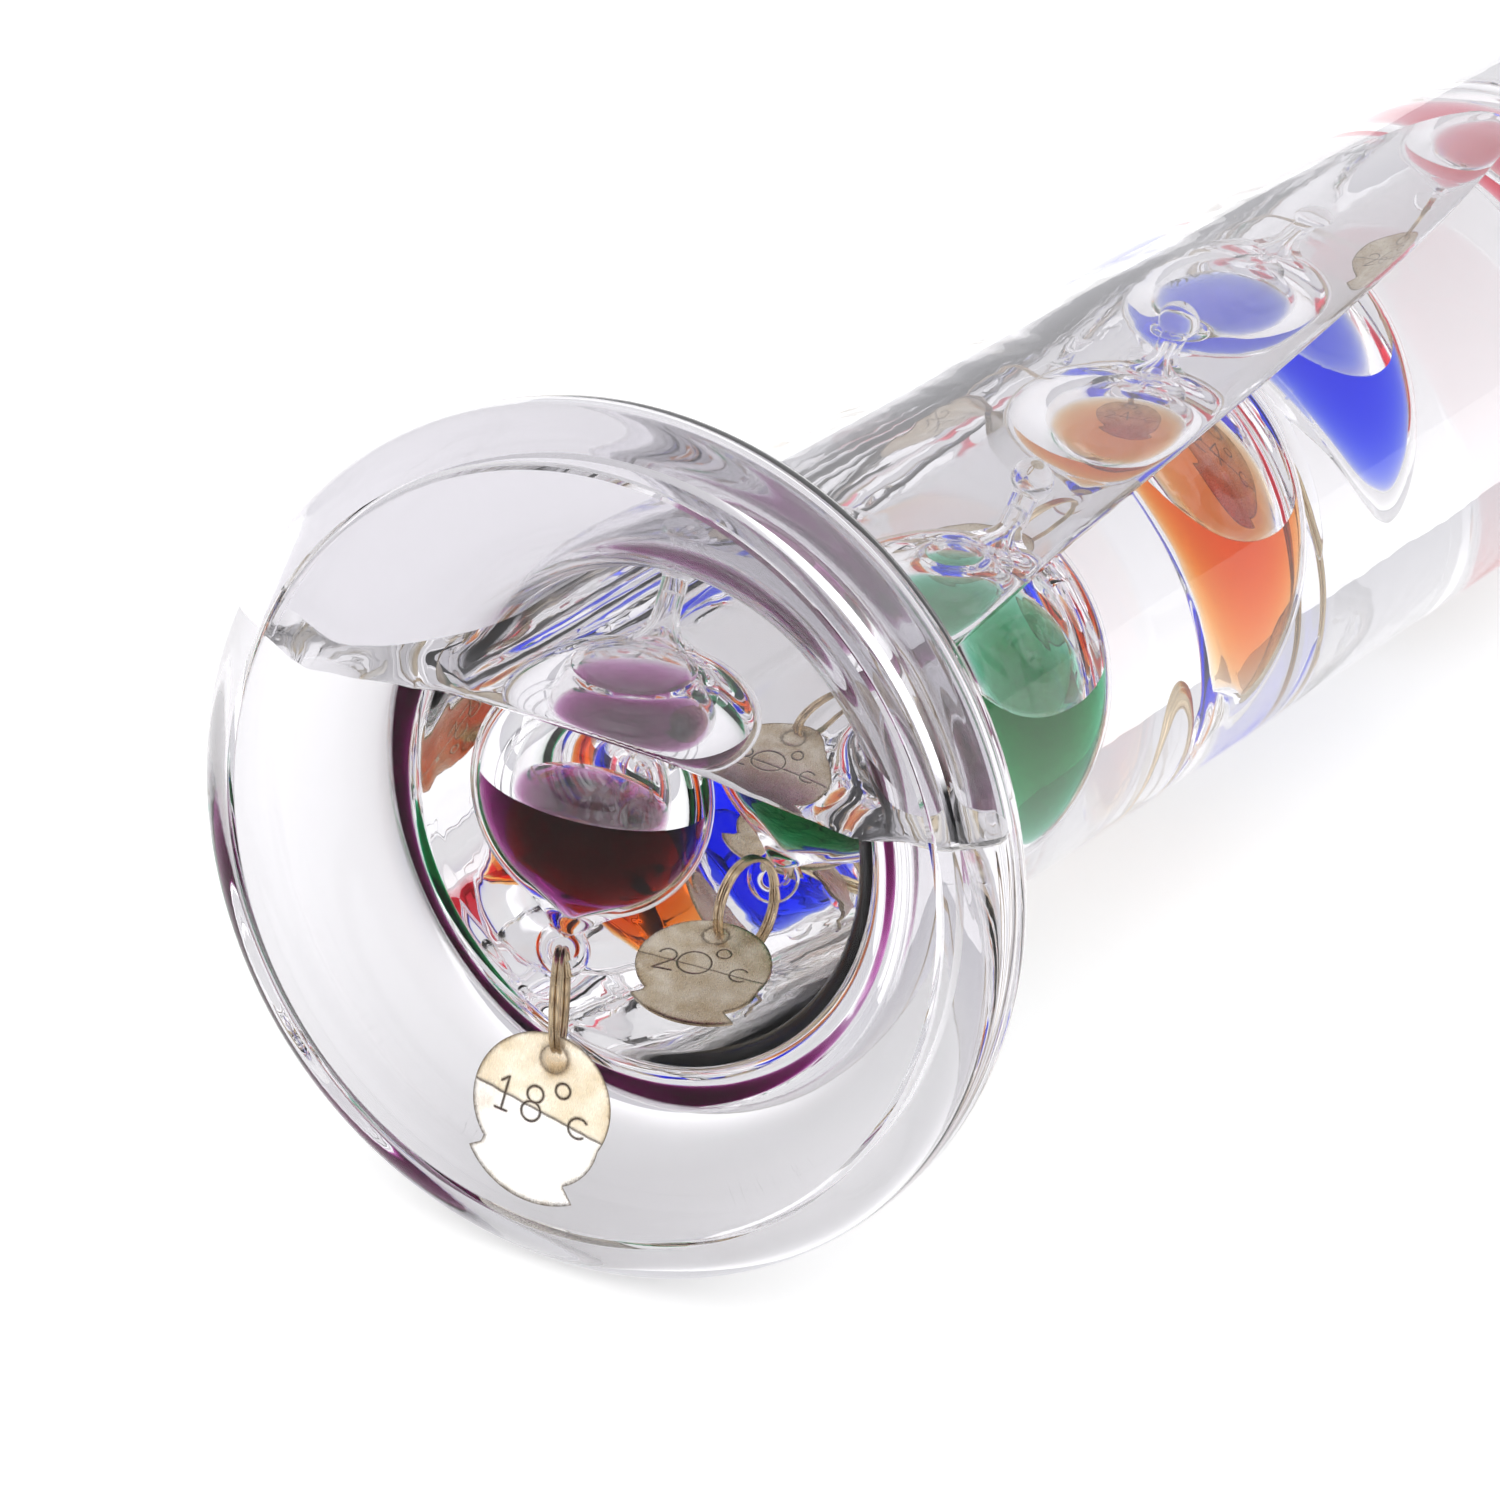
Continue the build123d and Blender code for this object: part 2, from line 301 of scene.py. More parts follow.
def noise_at(nodes, links, scale, detail=3.0, stretch=(1, 1, 1)):
    """Noise in the object's own coordinates."""
    place = nodes.new("ShaderNodeTexCoord")
    fit = nodes.new("ShaderNodeMapping")
    fit.inputs["Scale"].default_value = stretch
    made = nodes.new("ShaderNodeTexNoise")
    made.inputs["Scale"].default_value = scale
    made.inputs["Detail"].default_value = detail
    links.new(place.outputs["Object"], fit.inputs["Vector"])
    links.new(fit.outputs["Vector"], made.inputs["Vector"])
    return made.outputs["Fac"]


def ramp(nodes, links, value, stops):
    made = nodes.new("ShaderNodeValToRGB")
    while len(made.color_ramp.elements) < len(stops):
        made.color_ramp.elements.new(0.5)
    for element, (position, colour) in zip(made.color_ramp.elements, stops):
        element.position = position
        element.color = (*colour, 1)
    links.new(value, made.inputs["Fac"])
    return made.outputs["Color"]


def bump(nodes, links, value, strength, distance):
    made = nodes.new("ShaderNodeBump")
    made.inputs["Strength"].default_value = strength
    made.inputs["Distance"].default_value = distance
    links.new(value, made.inputs["Height"])
    return made.outputs["Normal"]


def clear_material(name, ior, tint=(1, 1, 1), waves=0.0002, scale=60, gloss=1.0):
    """A clear surface whose inside bends light ior times as much as its outside."""
    material, nodes, links = new_material(name)
    out = nodes.new("ShaderNodeOutputMaterial")
    shader = nodes.new("ShaderNodeBsdfPrincipled")
    shader.inputs["Transmission Weight"].default_value = 1.0
    shader.inputs["Roughness"].default_value = 0.0
    shader.inputs["IOR"].default_value = ior
    shader.inputs["Specular Tint"].default_value = (gloss, gloss, gloss, 1)
    clouds = noise_at(nodes, links, scale)
    pale = tuple(min(1.0, c * 1.004) for c in tint)
    dull = tuple(c * 0.99 for c in tint)
    links.new(ramp(nodes, links, clouds, [(0.3, dull), (0.7, pale)]), shader.inputs["Base Color"])
    if waves:
        links.new(bump(nodes, links, clouds, 1.0, waves), shader.inputs["Normal"])
    links.new(shader.outputs["BSDF"], out.inputs["Surface"])
    return material


def absorb(nodes, links, out, left):
    """Colours the inside by what is left of red, green and blue after a centimetre."""
    volume = nodes.new("ShaderNodeVolumeAbsorption")
    loss = [-log(c) / 0.01 for c in left]
    density = max(loss) * 1.1
    volume.inputs["Density"].default_value = density
    volume.inputs["Color"].default_value = (*[1 - x / density for x in loss], 1)
    links.new(volume.outputs["Volume"], out.inputs["Volume"])


def open_material(name, left=None):
    """The side of a liquid where it touches glass: the glass bends the light, this doesn't."""
    material, nodes, links = new_material(name)
    out = nodes.new("ShaderNodeOutputMaterial")
    shader = nodes.new("ShaderNodeBsdfTransparent")
    links.new(shader.outputs["BSDF"], out.inputs["Surface"])
    if left:
        absorb(nodes, links, out, left)
    return material


def brass_material(name, pale, dark, roughness, grain):
    material, nodes, links = new_material(name)
    out = nodes.new("ShaderNodeOutputMaterial")
    shader = nodes.new("ShaderNodeBsdfPrincipled")
    shader.inputs["Metallic"].default_value = 1.0
    clouds = noise_at(nodes, links, 350, 5)
    rolled = noise_at(nodes, links, 2600, 3, grain)
    links.new(ramp(nodes, links, clouds, [(0.35, dark), (0.6, pale)]), shader.inputs["Base Color"])
    smooth, coarse = (roughness * 0.7,) * 3, (roughness * 1.4,) * 3
    rough = ramp(nodes, links, rolled, [(0.3, smooth), (0.8, coarse)])
    links.new(rough, shader.inputs["Roughness"])
    links.new(bump(nodes, links, rolled, 0.25, 0.00002), shader.inputs["Normal"])
    links.new(shader.outputs["BSDF"], out.inputs["Surface"])
    return material


def blended(nodes, links, share, first, second):
    """One colour turned into another by a share from 0 to 1. A colour is a tuple or an output."""
    made = nodes.new("ShaderNodeMix")
    made.data_type = "RGBA"
    links.new(share, made.inputs[0])
    for socket, colour in ((made.inputs[6], first), (made.inputs[7], second)):
        if isinstance(colour, tuple):
            socket.default_value = (*colour, 1)
        else:
            links.new(colour, socket)
    return made.outputs[2]


def marked(nodes, name):
    made = nodes.new("ShaderNodeAttribute")
    made.attribute_name = name
    return made.outputs["Fac"]


def scaled(nodes, links, first, second):
    made = nodes.new("ShaderNodeMath")
    made.operation = "MULTIPLY"
    made.use_clamp = True
    for socket, value in ((made.inputs[0], first), (made.inputs[1], second)):
        if isinstance(value, float):
            socket.default_value = value
        else:
            links.new(value, socket)
    return made.outputs["Value"]


def tag_material():
    """Rolled brass with dark stamping: tan, and near-white where the bright mark is set, a painted
    highlight on tag 18 below its crease. The tarnished brown and the ink also carry painted shade.
    """
    material, nodes, links = new_material("tag_brass")
    out = nodes.new("ShaderNodeOutputMaterial")
    shader = nodes.new("ShaderNodeBsdfPrincipled")
    shader.inputs["Metallic"].default_value = 1.0
    clouds = noise_at(nodes, links, 420, 5)
    rolled = noise_at(nodes, links, 2600, 3, (1, 8, 1))
    upper = ramp(nodes, links, clouds, [(0.3, (0.74, 0.63, 0.44)), (0.65, (0.9, 0.82, 0.66))])
    highlight_lower = ramp(nodes, links, clouds, [(0.3, (0.97, 0.93, 0.82)), (0.65, (1.0, 0.985, 0.94))])
    # painted highlight: where the bright mark is set, the tan brass turns near-white
    base = blended(nodes, links, marked(nodes, "bright"), upper, highlight_lower)
    spots = ramp(nodes, links, clouds, [(0.3, (1, 1, 1)), (0.72, (0.25, 0.25, 0.25))])
    # the tarnished brown, laid on by its mark; on the tags other than 18 that mark also paints
    # shade over the whole tag
    tarnish_and_shade = scaled(nodes, links, marked(nodes, "tarnish_and_shade"), spots)
    base = blended(nodes, links, tarnish_and_shade, base, (0.42, 0.29, 0.15))
    # near-black by the ink mark: the stamped strokes, and also painted shade along the crease, a
    # dark line round the edges and a darker back face
    base = blended(nodes, links, marked(nodes, "ink"), base, (0.07, 0.045, 0.025))
    links.new(base, shader.inputs["Base Color"])
    rough = ramp(nodes, links, rolled, [(0.3, (0.22, 0.22, 0.22)), (0.8, (0.4, 0.4, 0.4))])
    links.new(rough, shader.inputs["Roughness"])
    links.new(bump(nodes, links, rolled, 0.25, 0.00002), shader.inputs["Normal"])
    links.new(shader.outputs["BSDF"], out.inputs["Surface"])
    return material


glass_ior = 1.5
liquid_ior = 1.42
dye_ior = 1.43
glass_tint = (0.77, 0.76, 0.785)
vessel_dry = clear_material("vessel_glass_dry", glass_ior, glass_tint, 0.0001, 40, 0.5)
vessel_wet = clear_material("vessel_glass_wet", glass_ior / liquid_ior, (1, 1, 1), 0.0001, 40)
fused = open_material("fused_seam")
plate_dry = clear_material("foot_glass_dry", glass_ior, glass_tint, 0.00005, 30, 0.2)
plate_wet = clear_material("foot_glass_wet", glass_ior / liquid_ior, (1, 1, 1), 0.00005, 30)
liquid_top = clear_material("liquid_surface", liquid_ior, (0.99, 0.99, 0.99), 0.00002, 60)
liquid_side = open_material("liquid_side")
float_dry = clear_material("float_glass_dry", glass_ior, (0.99, 0.99, 0.99), 0.00003, 120)
float_wet = clear_material("float_glass_wet", glass_ior / liquid_ior, (1, 1, 1), 0.00003, 120)
float_dyed = clear_material("float_glass_dyed", glass_ior / dye_ior, (1, 1, 1), 0.00003, 120)
brass_wire = brass_material("ring_brass", (0.74, 0.6, 0.4), (0.36, 0.25, 0.14), 0.22, (1, 1, 1))
brass_sheet = tag_material()

# ---- vessel outlines ----
rim_inner = rim_radius - rim_round
back_centre = rim_depth - rim_round
dome_centre = vessel_length - tube_radius
flare_rise = rim_inner - tube_radius
flare_run = flare_start - back_centre
flare_radius = (flare_run**2 + flare_rise**2 - rim_round**2) / (2 * (flare_rise + rim_round))
flare_centre = (flare_start, tube_radius + flare_radius)
flare_angle = degrees(atan2(flare_centre[1] - rim_inner, flare_run))
cavity_radius = flare_radius + tube_wall
cavity_round = rim_round - tube_wall
cavity_foot = 190.0
liquid_start = plate_thickness + plate_gap


def cavity_outline():
    """The inside of the vessel from the foot plate to the crown of the dome."""
    return joined(
        [(plate_thickness, plate_radius)],
        arc((back_centre, rim_inner), cavity_round, cavity_foot, flare_angle, 22),
        arc(flare_centre, cavity_radius, 180 + flare_angle, 270, 44),
        line((flare_start, inner_radius), (dome_centre, inner_radius), 150),
        arc((dome_centre, 0), inner_radius, 90, 0, 32),
    )


def cavity_reach(a):
    """The cavity's radius at a distance along the tube."""
    if a < back_centre + cavity_round * cos(radians(flare_angle)):
        return rim_inner + sqrt(max(cavity_round**2 - (a - back_centre) ** 2, 0.2))
    if a < flare_start:
        return flare_centre[1] - sqrt(cavity_radius**2 - (flare_start - a) ** 2)
    if a < dome_centre:
        return inner_radius
    return sqrt(max(inner_radius**2 - (a - dome_centre) ** 2, 0))


def outer_ripple(a, t):
    """Hand-blown unevenness of the outside, inwards only."""
    n = noise.noise(Vector((a * 0.035, cos(t) * 1.3, sin(t) * 1.3 + 5)))
    return -0.035 * (1 + n)


def inner_ripple(a, t):
    n = noise.noise(Vector((a * 0.05, cos(t) * 1.6, sin(t) * 1.6 + 9)))
    return 0.06 * n


# ---- vessel tube ----
tip_angle = degrees(asin(tip_radius / tube_radius))
tip_top = vessel_length + tip_height
outer_profile = joined(
    [(seam_depth, plate_radius), (0, rim_inner)],
    arc((rim_round, rim_inner), rim_round, 180, 90, 16),
    line((rim_round, rim_radius), (back_centre, rim_radius), 3),
    arc((back_centre, rim_inner), rim_round, 90, flare_angle, 12),
    arc(flare_centre, flare_radius, 180 + flare_angle, 270, 44),
    line((flare_start, tube_radius), (dome_centre, tube_radius), 150),
    arc((dome_centre, 0), tube_radius, 90, tip_angle, 30),
    arc_through(
        (dome_centre + tube_radius * cos(radians(tip_angle)), tip_radius),
        (tip_top - 0.5, tip_radius * 0.75),
        (tip_top, tip_radius / 3),
        10,
    ),
    [(tip_top, 0)],
)
steps = 180
points, faces = turned(outer_profile, foot_centre, tube_axis, side_axis, steps, outer_ripple)
inner_points, inner_faces = turned(
    cavity_outline(), foot_centre, tube_axis, side_axis, steps, inner_ripple
)
shift = len(points)
inner_faces = [[i + shift for i in reversed(face)] for face in inner_faces]
seam = [
    [(i + 1) % steps, i, i + shift, (i + 1) % steps + shift] for i in range(steps)
]
bm = new_bmesh(points + inner_points, [*faces, *inner_faces, *seam])
bm.faces.ensure_lookup_table()
inside = bm.faces.layers.int.new("inside")
for index, face in enumerate(bm.faces):
    if index >= len(faces) + len(inner_faces):
        face[inside] = 2
    elif index >= len(faces):
        face[inside] = 1
dry = cut_climbing(bm)
for face in bm.faces:
    if face[inside] == 2:
        face.material_index = 2
    elif face[inside] == 1 and not face[dry]:
        face.material_index = 1
bmesh.ops.recalc_face_normals(bm, faces=bm.faces[:])
piece("blown_vessel", bm, [vessel_dry, vessel_wet, fused], "vessel", ["glass_tube"])

# ---- foot disc ----
edge_radius = plate_radius - 0.01
disc_profile = joined(
    [(0, 0)],
    line((0, 2), (0, edge_radius - plate_chamfer), 16),
    line((0, edge_radius - plate_chamfer), (plate_chamfer, edge_radius), 2),
    line((seam_depth, edge_radius), (plate_thickness, edge_radius), 2),
    line((plate_thickness, edge_radius), (plate_thickness, 2), 16),
    [(plate_thickness, 0)],
)
points, faces = turned(disc_profile, foot_centre, tube_axis, side_axis, steps)
bm = new_bmesh(points, faces)
bmesh.ops.recalc_face_normals(bm, faces=bm.faces[:])
dry = cut_climbing(bm)
for face in bm.faces:
    middle = face.calc_center_median() - foot_centre
    a = middle.dot(tube_axis) / MM
    r = (middle - tube_axis * middle.dot(tube_axis)).length / MM
    if a > plate_thickness - 0.01:
        face.material_index = 0 if face[dry] else 1
    elif r > edge_radius - 0.05 and a > seam_depth - 0.01:
        face.material_index = 2
piece("foot_disc", bm, [plate_dry, plate_wet, fused], "vessel", ["foot_plate"])


# ---- where each float, ring and tag is ----
class Hanging:
    def __init__(self, name):
        low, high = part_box(f"dye_{name}")
        swing = joints[f"ring_{name}_swing"]
        tag = joints[f"tag_{name}_swing"]
        self.centre = Vector(((low.x + high.x) / 2, (low.y + high.y) / 2, high.z))
        self.eye = Vector(swing["pos_m"])
        self.up = (self.centre - self.eye).normalized()
        self.centre = self.eye + self.up * (eye_drop * MM)
        hinge = Vector(swing["axis"]).normalized()
        self.eye_axis = (hinge - self.up * hinge.dot(self.up)).normalized()
        low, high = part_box(f"split_ring_{name}")
        self.ring_centre = (low + high) / 2
        self.wire_at_tag = Vector(tag["pos_m"])
        self.tag_normal = Vector(tag["axis"]).normalized()
        outward = (self.wire_at_tag - self.ring_centre).normalized()
        self.ring_axis = outward.cross(self.tag_normal).normalized()
        self.outward = outward
        swung = Matrix.Rotation(radians(floats[name]["swing"]), 3, self.tag_normal)
        self.tag_down = swung @ outward
        self.disc = self.wire_at_tag + self.tag_down * ((tag_slack + tag_hole_height) * MM)


hanging = {name: Hanging(name) for name in floats}

# ---- float outlines: (height above the bulb's centre, radius) ----
neck_top = knob_height - sqrt(knob_radius**2 - neck_radius**2)
shoulder_height = sqrt(bulb_radius**2 - neck_foot**2)
funnel_height = -sqrt(bulb_radius**2 - funnel_top**2)
stem_height = -eye_drop + 1.9
knob_sweep = degrees(acos((neck_top - knob_height) / knob_radius))
float_profile = joined(
    arc((knob_height, 0), knob_radius, 0, knob_sweep, 16),
    line((neck_top, neck_radius), (shoulder_height + 4.0, neck_radius), 6),
    arc_through(
        (shoulder_height + 4.0, neck_radius),
        (shoulder_height + 1.4, neck_radius + 0.7),
        (shoulder_height, neck_foot),
        10,
    ),
    arc(
        (0, 0),
        bulb_radius,
        degrees(atan2(neck_foot, shoulder_height)),
        degrees(atan2(funnel_top, funnel_height)),
        56,
    ),
    arc_through((funnel_height, funnel_top), (-12.3, 2.6), (stem_height, 1.4), 12),
    [(stem_height - 0.3, 0.9), (stem_height - 0.4, 0)],
)


def hollow_profile(gap=0.0):
    """The space inside a float, made smaller by a gap."""
    inner = bulb_radius - bulb_wall
    bore = neck_radius - 0.6
    foot = neck_foot - 0.9
    shoulder = sqrt(inner**2 - foot**2)
    funnel = -sqrt(inner**2 - (funnel_top - 1.0) ** 2)
    bore_top = knob_height - knob_radius - 0.8
    outline = joined(
        [(bore_top, 0), (bore_top, bore * 0.7)],
        line((bore_top - 0.2, bore), (shoulder + 4.2, bore), 6),
        arc_through((shoulder + 4.2, bore), (shoulder + 1.6, bore + 0.6), (shoulder, foot), 10),
        arc(
            (0, 0),
            inner,
            degrees(atan2(foot, shoulder)),
            degrees(atan2(funnel_top - 1.0, funnel)),
            56,
        ),
        arc_through((funnel, funnel_top - 1.0), (-11.3, 1.9), (-eye_drop + 3.2, 0.5), 12),
        [(-eye_drop + 3.1, 0)],
    )
    if not gap:
        return outline
    return [(a + (gap if a < 0 else -gap), max(r - gap, 0)) for a, r in outline]


def torus(centre, axis, start, major, minor, around=40, tube=20):
    other = axis.cross(start)
    points, faces = [], []
    for i in range(around):
        t = 2 * pi * i / around
        out = start * cos(t) + other * sin(t)
        for j in range(tube):
            s = 2 * pi * j / tube
            points.append(centre + (out * (major + minor * cos(s)) + axis * (minor * sin(s))) * MM)
    for i in range(around):
        for j in range(tube):
            i1, j1 = (i + 1) % around, (j + 1) % tube
            faces.append([i * tube + j, i1 * tube + j, i1 * tube + j1, i * tube + j1])
    return points, faces


def union(first, second):
    """One closed mesh of two that overlap."""
    made = []
    for bm in (first, second):
        bmesh.ops.recalc_face_normals(bm, faces=bm.faces[:])
        mesh = bpy.data.meshes.new("scratch")
        bm.to_mesh(mesh)
        bm.free()
        made.append(bpy.data.objects.new("scratch", mesh))
        scene.collection.objects.link(made[-1])
    join = made[0].modifiers.new("join", "BOOLEAN")
    join.operation = "UNION"
    join.solver = "EXACT"
    join.object = made[1]
    shown = made[0].evaluated_get(bpy.context.evaluated_depsgraph_get())
    bm = bmesh.new()
    bm.from_mesh(shown.to_mesh())
    for scratch in made:
        mesh = scratch.data
        bpy.data.objects.remove(scratch)
        bpy.data.meshes.remove(mesh)
    return bm


for name, place in hanging.items():
    # float glass
    body = new_bmesh(*turned(float_profile, place.centre, place.up, place.eye_axis, 96))
    eye = new_bmesh(*torus(place.eye, place.eye_axis, place.up, eye_major, eye_minor))
    bm = union(body, eye)
    near = [v for v in bm.verts if abs((v.co - place.eye).dot(place.up) / MM - 2.3) < 0.9]
    for _ in range(4):
        bmesh.ops.smooth_vert(
            bm, verts=near, factor=0.5, use_axis_x=True, use_axis_y=True, use_axis_z=True
        )
    wet_to = level + neck_climb * MM
    cut_level(bm, wet_to)
    for face in bm.faces:
        face.material_index = 1 if face.calc_center_median().z < wet_to else 0
    points, faces = turned(hollow_profile(), place.centre, place.up, place.eye_axis, 96)
    hollow = new_bmesh(points, faces)
    bmesh.ops.recalc_face_normals(hollow, faces=hollow.faces[:])
    bmesh.ops.reverse_faces(hollow, faces=hollow.faces[:])
    dye_edge = place.centre.z + 0.5 * MM
    cut_level(hollow, dye_edge)
    for face in hollow.faces:
        face.material_index = 2 if face.calc_center_median().z < dye_edge else 0
    inside_mesh = bpy.data.meshes.new("scratch")
    hollow.to_mesh(inside_mesh)
    hollow.free()
    bm.from_mesh(inside_mesh)
    bpy.data.meshes.remove(inside_mesh)
    piece(
        f"float_{name}_glass",
        bm,
        [float_dry, float_wet, float_dyed],
        f"float_{name}",
        [f"float_glass_{name}"],
    )

    # dye, up to a level surface that climbs the glass a little
    bm = new_bmesh(*turned(hollow_profile(0.02), place.centre, place.up, place.eye_axis, 96))
    bmesh.ops.recalc_face_normals(bm, faces=bm.faces[:])
    cut_level(bm, dye_edge, above=True)
    order = in_order([e for e in bm.edges if e.is_boundary])
    middle = Vector((place.centre.x, place.centre.y, dye_edge))
    dye_reach = bulb_radius - bulb_wall
    last = order
    rows = [order]
    for share in (0.985, 0.965, 0.94, 0.91, 0.87, 0.82, 0.75, 0.66, 0.54, 0.4, 0.25, 0.1):
        dip = 0.5 * (1 - exp(-(1 - share) * dye_reach / 0.7))
        row = []
        for v in order:
            p = middle + (v.co - middle) * share
            row.append(bm.verts.new((p.x, p.y, middle.z - dip * MM)))
        rows.append(row)
        for i in range(len(row)):
            j = (i + 1) % len(row)
            bm.faces.new((last[i], last[j], row[j], row[i]))
        last = row
    bm.faces.new(last)
    bmesh.ops.recalc_face_normals(bm, faces=bm.faces[:])
    # the surface that bends the light: a sheet that lies on the dye
    sheet = [[bm.verts.new(v.co + Vector((0, 0, sheet_gap * MM))) for v in row] for row in rows]
    tops = []
    for low, high in zip(sheet, sheet[1:]):
        for i in range(len(low)):
            j = (i + 1) % len(low)
            tops.append(bm.faces.new((low[i], low[j], high[j], high[i])))
    tops.append(bm.faces.new(sheet[-1]))
    for face in tops:
        face.material_index = 1
        face.normal_update()
        if face.normal.z < 0:
            face.normal_flip()
    spec = floats[name]
    piece(
        f"float_{name}_dye",
        bm,
        [
            open_material(f"{spec['slot']}_side", spec["left"]),
            clear_material(f"{spec['slot']}_surface", dye_ior, (1, 1, 1), 0),
        ],
        f"float_{name}",
        [f"dye_{name}"],
    )

    # split ring: one wire wound twice round, with a jog where it passes from turn to turn
    points, faces = [], []
    radial0 = (place.eye - place.ring_centre).normalized()
    radial0 = Matrix.Rotation(radians(150), 3, place.ring_axis) @ radial0
    gap, jog, count, tube = 0.32, 0.26, 260, 12
    path = []
    for i in range(count + 1):
        t = gap + (4 * pi - 2 * gap) * i / count
        x = min(max((t - (2 * pi - jog)) / (2 * jog), 0), 1)
        path.append((t, turn_offset * (2 * x * x * (3 - 2 * x) - 1), 1.0))
    ends = [0.35, 0.7, 0.93]
    path = (
        [(path[0][0] - 0.012 * (3 - k), path[0][1], ends[k]) for k in range(3)]
        + path
        + [(path[-1][0] + 0.012 * (k + 1), path[-1][1], ends[2 - k]) for k in range(3)]
    )
    for t, offset, size in path:
        out = Matrix.Rotation(t, 3, place.ring_axis) @ radial0
        centre = place.ring_centre + (out * ring_major + place.ring_axis * offset) * MM
        for j in range(tube):
            s = 2 * pi * j / tube
            wire = ring_wire * size * 0.98
            points.append(centre + (out * cos(s) + place.ring_axis * sin(s)) * (wire * MM))
    for i in range(len(path) - 1):
        for j in range(tube):
            j1 = (j + 1) % tube
            faces.append([i * tube + j, (i + 1) * tube + j, (i + 1) * tube + j1, i * tube + j1])
    faces.append(list(range(tube)))
    faces.append(list(range(len(points) - 1, len(points) - 1 - tube, -1)))
    bm = new_bmesh(points, faces)
    bmesh.ops.recalc_face_normals(bm, faces=bm.faces[:])
    piece(
        f"float_{name}_ring",
        bm,
        [brass_wire],
        f"ring_{name}",
        [f"split_ring_{name}"],
        60,
    )


# ---- tags ----
def resampled(points, spacing, closed=False):
    """Points at even spacing along a run of points."""
    points = list(points) + ([points[0]] if closed else [])
    out = []
    for a, b in zip(points, points[1:]):
        count = max(1, ceil(hypot(b[0] - a[0], b[1] - a[1]) / spacing))
        out += line(a, b, count)[:-1]
    return out if closed else out + [points[-1]]


def tag_outline():
    right = (tag_radius * cos(radians(340)), tag_radius * sin(radians(340)))
    left = (tag_radius * cos(radians(228)), tag_radius * sin(radians(228)))
    return joined(
        arc((0, 0), tag_radius, 228, -20, 120),
        arc_through(right, (5.95, -4.2), (4.0, -6.6), 16),
        line((4.0, -6.6), (5.3, -7.9), 5),
        arc_through((5.3, -7.9), (0.7, -tag_tail), (-5.55, -6.25), 46),
        line((-5.55, -6.25), (-4.55, -5.55), 4),
        line((-4.55, -5.55), left, 4)[:-1],
    )


def sized(run, x, y, height):
    return [(x + p[0] * height, y + p[1] * height) for p in run]


def digit(character):
    """Strokes of a stamped character, one unit high and centred."""
    return {
        "0": [arc((0, 0), 0.5, 90, 450, 24)],
        "1": [
            [(-0.16, 0.32), (0.03, 0.5), (0.03, -0.5)],
            [(-0.16, -0.5), (0.2, -0.5)],
        ],
        "2": [arc((0, 0.2), 0.28, 165, -35, 12) + [(-0.3, -0.5), (0.3, -0.5)]],
        "4": [[(0.12, -0.5), (0.12, 0.5), (-0.3, -0.18), (0.3, -0.18)]],
        "6": [arc((0, -0.22), 0.27, 0, 360, 20), arc((0.33, -0.16), 0.66, 168, 104, 8)],
        "8": [arc((0, 0.24), 0.23, 0, 360, 20), arc((0, -0.25), 0.27, 0, 360, 22)],
    }[character]


def tag_strokes(name):
    """The reading, a degree mark and a small c, in the tag's own plane."""
    strokes = [sized(run, -3.65, -0.35, 3.2) for run in digit(name[0])]
    strokes += [sized(run, -0.8, -0.2, 3.4) for run in digit(name[1])]
    strokes.append(arc((1.6, 1.9), 0.7, 0, 360, 22))
    strokes.append(arc((3.9, -0.85), 0.95, 48, 312, 20))
    return [resampled(run, 0.06) for run in strokes]


crease = ((-6.5, -0.05), (6.5, -1.4))


